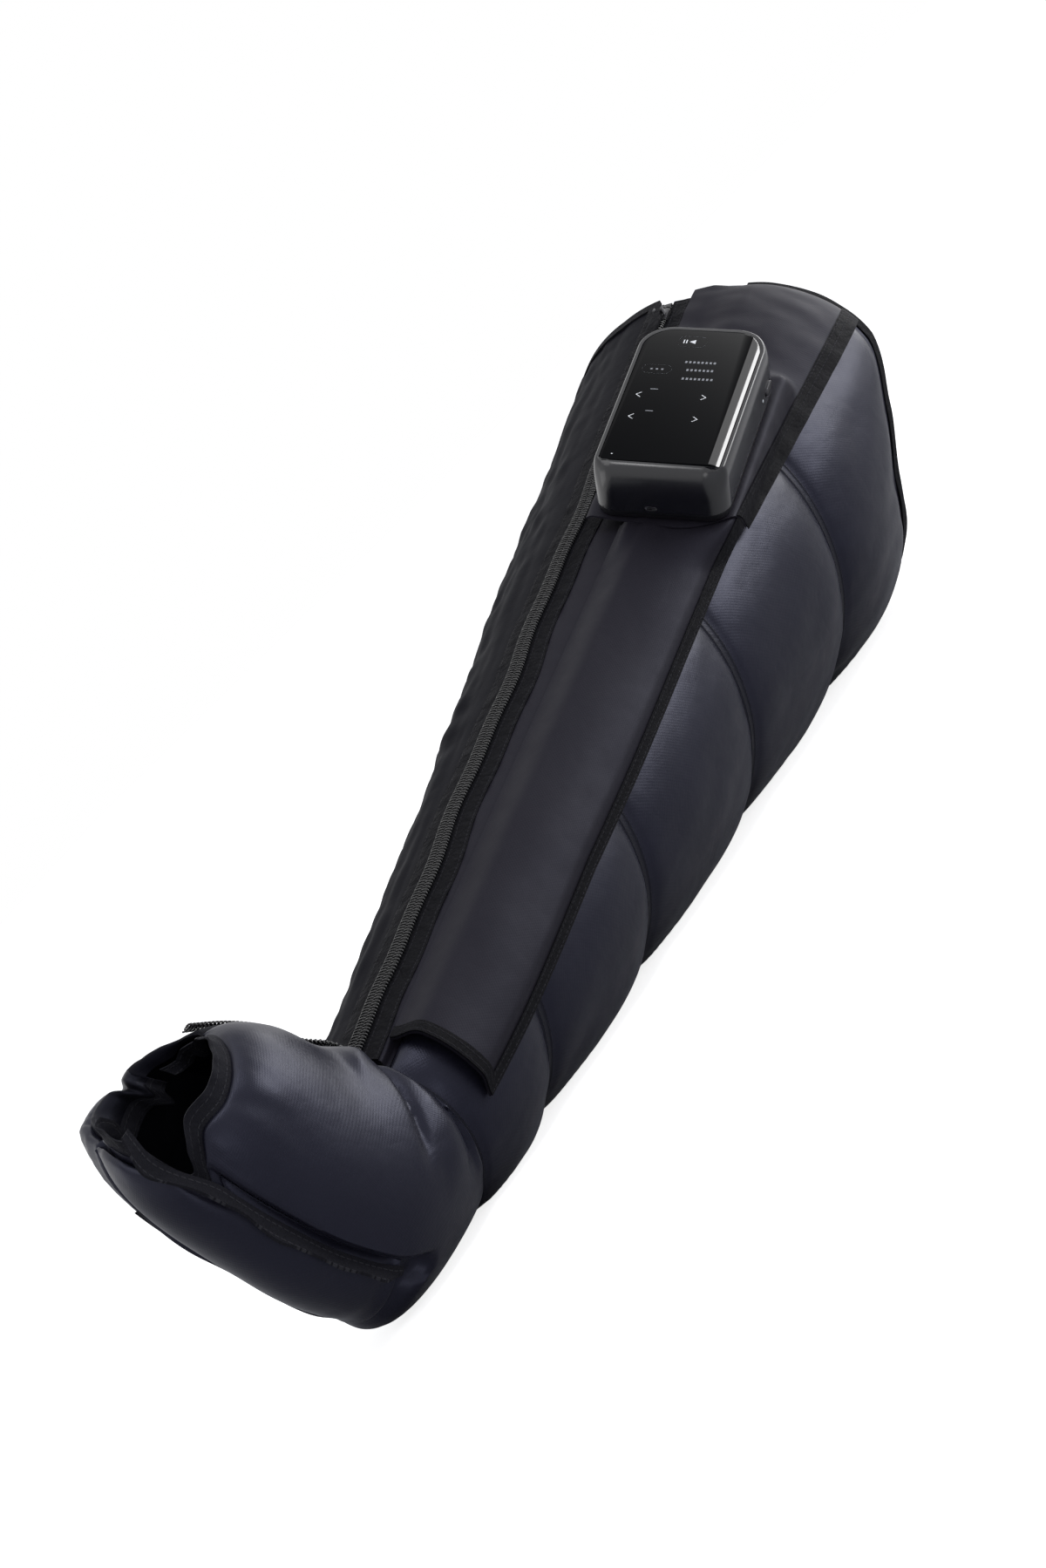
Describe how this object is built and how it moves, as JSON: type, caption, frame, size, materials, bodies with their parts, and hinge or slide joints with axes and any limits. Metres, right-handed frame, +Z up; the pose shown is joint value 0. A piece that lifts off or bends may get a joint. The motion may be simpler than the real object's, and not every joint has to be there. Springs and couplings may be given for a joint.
{
  "type": "recovery boot",
  "caption": "Air compression boot for one leg with an open toe, welded air chambers, a long front zip, a hose cover flap and a lift-off control unit with a side button.",
  "frame": {"origin": "on the flat pressed patch under the calf that the boot rests on, in the middle of the knee chamber", "axes": "+X along the leg from the foot to the thigh, +Z up through the shin, and -Y towards the side with the control unit"},
  "size_m": [1.0454, 0.3094, 0.2965],
  "materials": {
    "nylon": "satin woven nylon, coated inside",
    "flap_cloth": "matt woven nylon",
    "ribbon": "ribbed binding tape",
    "zip_coil": "moulded nylon coil",
    "metal": "black lacquered zinc",
    "shell": "dark grey satin lacquer over moulded plastic",
    "display_glass": "glossy tinted window",
    "plastic": "fine grained",
    "hose": "soft clear grey",
    "board": "green solder mask",
    "lamp": "milky lens",
    "cell": "plastic-wrapped cell pack",
    "bare_metal": "plain"
  },
  "bodies": {
    "boot": {"calf_chamber_lower": "nylon", "calf_chamber_upper": "nylon", "knee_chamber": "nylon", "thigh_chamber_lower": "nylon", "thigh_chamber_upper": "nylon", "foot_chamber": "nylon", "sole_pad": "nylon", "front_gusset": "nylon", "instep_cloth": "nylon", "flap_top_end": "flap_cloth", "unit_panel": "flap_cloth", "unit_panel_ribbon": "ribbon", "thigh_hem_ribbon": "ribbon", "gusset_hem_ribbon": "ribbon", "toe_rim_ribbon": "ribbon", "sole_ribbon_near": "ribbon", "sole_ribbon_far": "ribbon", "zip_facing": "ribbon", "zip_tape_near": "ribbon", "zip_tape_far": "ribbon", "zip_chain": "zip_coil", "instep_zip_chain": "zip_coil", "zip_top_stop": "metal", "dock_plate": "plastic", "inlet_knee": "plastic", "inlet_calf_upper": "plastic", "inlet_calf_lower": "plastic", "inlet_thigh_lower": "plastic", "inlet_thigh_upper": "plastic", "air_hose_knee": "hose", "air_hose_calf_upper": "hose", "air_hose_calf_lower": "hose", "air_hose_thigh_lower": "hose", "air_hose_thigh_upper": "hose"},
    "control_unit": {"unit_base": "plastic", "unit_frame": "shell", "unit_glass": "display_glass", "charge_lamp": "lamp", "charging_port": "bare_metal", "battery": "cell", "main_board": "board", "touch_board": "board", "air_pump": "bare_metal", "valve_block": "plastic", "unit_screw_1": "bare_metal", "unit_screw_2": "bare_metal", "unit_screw_3": "bare_metal", "unit_screw_4": "bare_metal"},
    "side_button": {"side_button": "shell"},
    "slider": {"zip_slider": "metal"},
    "pull_tab": {"zip_pull_tab": "ribbon"},
    "cover": {"cover_flap": "flap_cloth", "cover_flap_ribbon": "ribbon"}
  },
  "joints": [
    {"name": "unit_lift", "type": "slide", "parent": "boot", "child": "control_unit", "axis": [-0.1723, -0.7249, 0.667], "range_m": [0, 0.09]},
    {"name": "button_press", "type": "slide", "parent": "control_unit", "child": "side_button", "axis": [-0.1236, 0.6877, 0.7154], "range_m": [0, 0.0008], "stiffness_N_per_m": 800, "springref_m": -0.0008},
    {"name": "zip_slide", "type": "slide", "parent": "boot", "child": "slider", "axis": [-0.9809, 0.0371, -0.1911], "range_m": [0, 0.735]},
    {"name": "pull_swing", "type": "hinge", "parent": "slider", "child": "pull_tab", "pos_m": [0.43715, -0.05655, 0.28365], "axis": [-0.0431, 0.916, 0.3988], "range_deg": [0, 150]},
    {"name": "flap_hinge", "type": "hinge", "parent": "boot", "child": "cover", "pos_m": [-0.337, -0.04122, 0.11466], "axis": [-0.9827, 0.063, -0.1744], "range_deg": [0, 60]}
  ]
}
